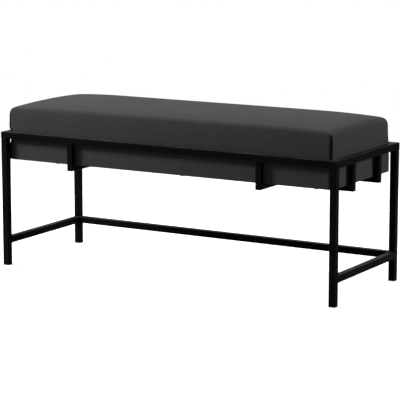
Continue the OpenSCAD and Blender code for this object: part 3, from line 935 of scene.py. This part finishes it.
def swollen(cover):
    """How each point of the cover moves as padding fills an even copy of it, scaled down to SWELL_CAP."""
    scene = bpy.context.scene
    trial = add_object("trial_cover", cover.data.copy())
    close_openings(trial.data)
    even = trial.modifiers.new("even", "REMESH")
    even.mode = "VOXEL"
    even.voxel_size = SWELL_VOXEL
    apply_modifiers(trial)
    before = coordinates(trial.data)
    held = trial.vertex_groups.new(name="held")
    firmness = 1 - smooth(before[:, 2], SWELL_FROM, SWELL_FULL)
    for k in np.nonzero(firmness > 0)[0]:
        held.add([int(k)], float(firmness[k]), "REPLACE")
    filling = trial.modifiers.new("filling", "CLOTH")
    cloth = filling.settings
    for label, value in FILLING.items():
        setattr(cloth, label, value)
    cloth.effector_weights.gravity = 0.0
    cloth.vertex_group_mass = "held"
    filling.point_cache.frame_start, filling.point_cache.frame_end = 1, SWELL_FRAMES
    for frame_number in range(1, SWELL_FRAMES + 1):
        scene.frame_set(frame_number)
    seen = trial.evaluated_get(bpy.context.evaluated_depsgraph_get())
    moved = coordinates(seen.data) - before
    scene.frame_set(1)
    bpy.data.objects.remove(trial)
    moved *= SWELL_CAP / np.linalg.norm(moved, axis=1).max()
    tree = KDTree(len(before))
    for k, place in enumerate(before):
        tree.insert(place, k)
    tree.balance()
    swell = np.zeros((len(cover.data.vertices), 3))
    for k, place in enumerate(coordinates(cover.data)):
        near = tree.find_n(place, SWELL_NEAR)
        weight = np.array([1 / (distance + SWELL_EASE) ** 2 for _, _, distance in near])
        swell[k] = weight @ moved[[index for _, index, _ in near]] / weight.sum()
    return swell


def fill_cover(cover):
    """Draws the free part of the cover in, then lets its padding push it out again."""
    points, outward = coordinates(cover.data), coordinates(cover.data, "normal")
    free = smooth(points[:, 2], SWELL_FROM, SWELL_FULL)[:, None]
    set_coordinates(cover.data, points - SWELL_ROOM * free * outward)
    # the foam keeps the cover from going in
    rise = np.maximum((swollen(cover) * outward).sum(axis=1), 0)[:, None]
    set_coordinates(cover.data, coordinates(cover.data) + free * rise * outward)


def make_cover():
    form = SeatForm()
    cover = cover_mesh(form, SEAT_Z, TURN_UNDER, fabric, "seat_cushion")
    set_coordinates(cover.data, lean(coordinates(cover.data)))
    fill_cover(cover)
    seams = list(seam_lines(cover, form))
    rounder = cover.modifiers.new("smooth", "SUBSURF")
    rounder.levels = rounder.render_levels = 1
    apply_modifiers(cover)
    sew_corners(cover, seams)
    thicken(cover, COVER_T, offset=-1)
    return cover, seams


def foam_mesh(form, bottom):
    """Foam slab under the crown, flat where it lies on the deck."""
    top = form.top()
    columns, rows = top.shape[:2]
    base = top.copy()
    base[..., 2] = bottom
    points = list(top.reshape(-1, 3)) + list(base.reshape(-1, 3))
    below = columns * rows
    faces = []
    for corners in grid_cells(columns, rows):
        face = [i * rows + j for i, j in corners]
        faces += [face, [below + k for k in reversed(face)]]
    ring = [i * rows + j for i, j in form.ring()]
    upper = ring
    for step in range(1, FOAM_STEPS):
        lower = [len(points) + n for n in range(len(ring))]
        points += [points[k] + step / FOAM_STEPS * (points[below + k] - points[k]) for k in ring]
        faces += strip(upper, lower)
        upper = lower
    faces += strip(upper, [below + k for k in ring])
    return lean(np.array(points)), faces


def wadding_mesh(form, low, high, inner_inset):
    """Band of wadding round the box, soft at its upper and lower edges."""
    ring_i, ring_j = np.array(form.ring()).T
    size = len(ring_i)
    loops = []
    for share, inset in WADDING_EDGE:
        x, y, _, _ = form.plan(ring_i, ring_j, inset * MM)
        loops.append(np.stack([x, y, np.full(size, low + share * (high - low))], axis=1))
    for height in (high, low):
        x, y, _, _ = form.plan(ring_i, ring_j, inner_inset - form.inset, square=True)
        loops.append(np.stack([x, y, np.full(size, height)], axis=1))
    rings = np.arange(len(loops) * size).reshape(-1, size).tolist()
    faces = []
    for first, second in zip(rings, rings[1:] + rings[:1]):
        faces += strip(first, second, turned=True)
    return np.concatenate(loops), faces


def make_padding(seams):
    """Foam slab and wadding band as pieces of their own, a little inside the cover."""
    low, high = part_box("foam_block")
    points, faces = foam_mesh(SeatForm(PADDING_INSET), low.z)
    slab = mesh_object("foam_slab", clear_seams(points, seams), faces, foam())
    low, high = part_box("side_padding")
    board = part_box("board_front")[1].x
    points, faces = wadding_mesh(SeatForm(WADDING_INSET), low.z, high.z, HALF_L - board)
    band = mesh_object("wadding_band", clear_seams(points, seams), faces, wadding())
    return slab, band


# -------- dust cloth

def between(value, stops, depth):
    """Sag of a cloth between the stops that hold it, deepest halfway."""
    sag = np.zeros_like(value)
    for low, high in zip(stops, stops[1:]):
        t = np.clip((value - low) / (high - low), 0, 1)
        sag += depth * min(1.0, (high - low) / FULL_SAG) * np.sin(math.pi * t) ** 2
    return sag


def nearest(value, places):
    """Distance from a value to the nearest of some places."""
    return min(abs(value - place) for place in places)


def grid_lines(half, pitch, cuts):
    """Even lines across a span, with the cuts among them and none crowding a cut."""
    even = np.linspace(-half, half, math.ceil(2 * half / pitch) + 1)
    apart = [value for value in even if nearest(value, cuts) > CUT_ROOM or abs(value) == half]
    return np.array(sorted(set(np.round(apart + list(cuts), 6))))


def make_dust_cloth():
    """Spunbond cloth, its edge folded in, pierced for the bolts and hanging a little between the bars."""
    _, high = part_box("dust_cloth")
    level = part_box("dust_cloth")[0].z + CLOTH_T / 2 + CLOTH_GAP
    bar_low, bar_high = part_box("long_bar_front")
    cross_low, cross_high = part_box("cross_bar_right_middle")
    bolt_low, bolt_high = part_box("seat_bolts")
    bolt_x = [bolt_low.x + BOLT_HEAD / 2, 0.0, bolt_high.x - BOLT_HEAD / 2]
    bolt_y = [(bar_low.y + bar_high.y) / 2, -(bar_low.y + bar_high.y) / 2]
    cuts_x = [x + s * BOLT_HOLE / 2 for x in bolt_x for s in (-1, 1)]
    cuts_y = [y + s * BOLT_HOLE / 2 for y in bolt_y for s in (-1, 1)]
    xs = grid_lines(high.x - CLOTH_T, CLOTH_PITCH, cuts_x)
    ys = grid_lines(high.y - CLOTH_T, CLOTH_PITCH, cuts_y)
    x, y = np.meshgrid(xs, ys, indexing="ij")
    held_x, cross_x = high.x - CLOTH_HELD, (cross_low.x + cross_high.x) / 2
    held_y = high.y - CLOTH_HELD
    sag_x = between(x, [-held_x, -cross_x, cross_x, held_x], CLOTH_SAG)
    sag_y = between(y, [-held_y, bar_low.y, -bar_low.y, held_y], CLOTH_SAG)
    z = level - np.minimum(sag_y, sag_x)
    rows = len(ys)
    points = list(np.stack([x, y, z], axis=-1).reshape(-1, 3))
    faces, uvs = [], []
    for corners in grid_cells(len(xs), rows, turned=True):
        i, j = corners[0]
        off_x = nearest((xs[i] + xs[i + 1]) / 2, bolt_x)
        off_y = nearest((ys[j] + ys[j + 1]) / 2, bolt_y)
        if max(off_x, off_y) >= HOLE_NEAR:
            faces.append([a * rows + b for a, b in corners])
            uvs += [(xs[a], ys[b]) for a, b in corners]
    ring = grid_ring(len(xs), rows)
    ring_i, ring_j = np.array(ring).T
    upper = [i * rows + j for i, j in ring]
    for inset, rise in FOLD_STEPS:
        x, y = xs[ring_i] * (1 - inset / high.x), ys[ring_j] * (1 - inset / high.y)
        lower = [len(points) + k for k in range(len(ring))]
        points += list(np.stack([x, y, np.full(len(ring), level + rise * FOLD_RISE)], axis=1))
        folded = strip(upper, lower, turned=True)
        faces += folded
        uvs += [tuple(points[k][:2]) for face in folded for k in face]
        upper = lower
    cloth = mesh_object("dust_cover", points, faces, lining(), uvs)
    thicken(cloth, CLOTH_T, offset=0)
    return cloth


# -------- fasteners, stitches and welds

def paths_mesh(name, paths, **directions):
    """A mesh of loose points joined into one line for each path; directions are vectors, one per point."""
    mesh = bpy.data.meshes.new(name)
    points, edges = [], []
    for path in paths:
        edges += [(len(points) + k, len(points) + k + 1) for k in range(len(path) - 1)]
        points += [tuple(float(value) for value in place) for place in path]
    mesh.from_pydata(points, edges, [])
    for label, vectors in directions.items():
        attribute = mesh.attributes.new(label, "FLOAT_VECTOR", "POINT")
        attribute.data.foreach_set("vector", np.asarray(vectors, np.float32).ravel())
    return mesh


def solids(name):
    """Lowest and highest corner of each separate solid in a CAD node."""
    work = bmesh.new()
    work.from_mesh(nodes[name].data)
    bmesh.ops.remove_doubles(work, verts=work.verts, dist=SAME_PLACE)
    left, found = set(work.verts), []
    while left:
        heap, island = [left.pop()], []
        while heap:
            vertex = heap.pop()
            island.append(vertex.co.copy())
            for edge in vertex.link_edges:
                other = edge.other_vert(vertex)
                if other in left:
                    left.remove(other)
                    heap.append(other)
        block = np.array(island)
        found.append((block.min(axis=0), block.max(axis=0)))
    work.free()
    return sorted(found, key=lambda corners: tuple(corners[0].round(5)))


def make_staples(layout, name, node):
    """Staples in the places of a CAD node's solids."""
    places, along = [], []
    for low, high in solids(node):
        size = high - low
        middle = (low + high) / 2
        places.append([(middle[0], middle[1], low[2] + STAPLE_WIRE / 2)])
        along.append((1.0, 0.0, 0.0) if size[0] > size[1] else (0.0, 1.0, 0.0))
    height = high[2] - low[2] - STAPLE_WIRE / 2
    carrier = paths_mesh(name, places, along=along)
    width = float(max(size[0], size[1]))
    return layout.run(name, carrier, metal, Width=width, Leg=float(height), Wire=STAPLE_WIRE)


def make_stitches(layout, seams):
    """The stitches of each corner seam, in a line down its groove."""
    runs = [[place + STITCH_IN * inward for place in line if place[2] < SEAM_TOP] for line, inward in seams]
    carrier = paths_mesh("seam_stitches", runs)
    return layout.run("seam_stitches", carrier, stitch_thread(), **STITCH)


def trimmed(start, end):
    """A straight run between two points, drawn back a little at each end."""
    step = (end - start).normalized() * WELD_TRIM
    return [start + step, end - step]


def weld_runs():
    """Inside corners where the stretchers and the cradle's bars were welded."""
    ends = []
    for name in ("stretcher_left", "stretcher_right"):
        low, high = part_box(name)
        inner = high.x if low.x < 0 else low.x
        for y in (low.y, high.y):
            ends += [((low.x, y, low.z), (high.x, y, low.z)), ((inner, y, low.z), (inner, y, high.z))]
    low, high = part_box("stretcher_rear")
    ends += [((x, low.y, low.z), (x, high.y, low.z)) for x in (low.x, high.x)]
    for name in (name for name in nodes if "_hanger_" in name):
        low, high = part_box(name)
        if name.startswith("long_"):
            ends += [((low.x, y, high.z), (high.x, y, high.z)) for y in (low.y, high.y)]
        else:
            ends += [((x, low.y, high.z), (x, high.y, high.z)) for x in (low.x, high.x)]
    long_low, long_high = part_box("long_bar_rear")
    for name in ("cross_bar_left_middle", "cross_bar_right_middle"):
        low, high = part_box(name)
        for x in (low.x, high.x):
            for y in (long_low.y, -long_low.y, long_high.y, -long_high.y):
                ends.append(((x, -y, low.z), (x, -y, high.z)))
    return [trimmed(Vector(start), Vector(end)) for start, end in ends]


def make_welds(layout):
    carrier = paths_mesh("weld_beads", weld_runs())
    return layout.run("weld_beads", carrier, steel, **WELD)


# -------- finishes on the CAD nodes

steel = powder_coat()
fabric = seat_fabric()
metal = zinc()
STEEL_PARTS = ("leg_", "rail_", "stretcher_", "long_", "cross_")
dress([n for n in nodes if n.startswith(STEEL_PARTS)], steel)
dress([n for n in nodes if n.startswith("glide_")], glide_plastic())
dress(["base_panel", "deck_panel"], plywood("plywood_flat", (0, 0, 0)))
dress(["board_front", "board_rear"], plywood("plywood_long", (math.pi / 2, 0, 0)))
dress(["board_left", "board_right", "rib_left", "rib_right"], plywood("plywood_cross", (0, math.pi / 2, 0)))
dress(["corner_blocks"], plywood("corner_wood", (0, math.pi / 2, 0), ply=60 * MM))
dress(["wood_screws", "seat_bolts", "seat_washers", "tee_nuts"], metal)

cover, seams = make_cover()
slab, band = make_padding(seams)
dust_cover = make_dust_cloth()
staple_layout = make_staple_layout()
cover_wires = make_staples(staple_layout, "cover_staple_wires", "cover_staples")
cloth_wires = make_staples(staple_layout, "cloth_staple_wires", "cloth_staples")
stitches = make_stitches(make_run_layout("stitches", STITCH), seams)
welds = make_welds(make_run_layout("weld_ripples", WELD))
FINISHED = (
    (cover, ["seat_cover"], "seat_fabric"),
    (slab, ["foam_block"], "foam"),
    (band, ["side_padding"], "padding"),
    (dust_cover, ["dust_cloth"], "dust_cloth"),
    (cover_wires, ["cover_staples"], "zinc"),
    (cloth_wires, ["cloth_staples"], "zinc"),
    (stitches, [], "seat_fabric"),
    (welds, [], "frame_steel"),
)
for piece, replaced, slot in FINISHED:
    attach(piece, "root")
    if replaced:
        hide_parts(*replaced)
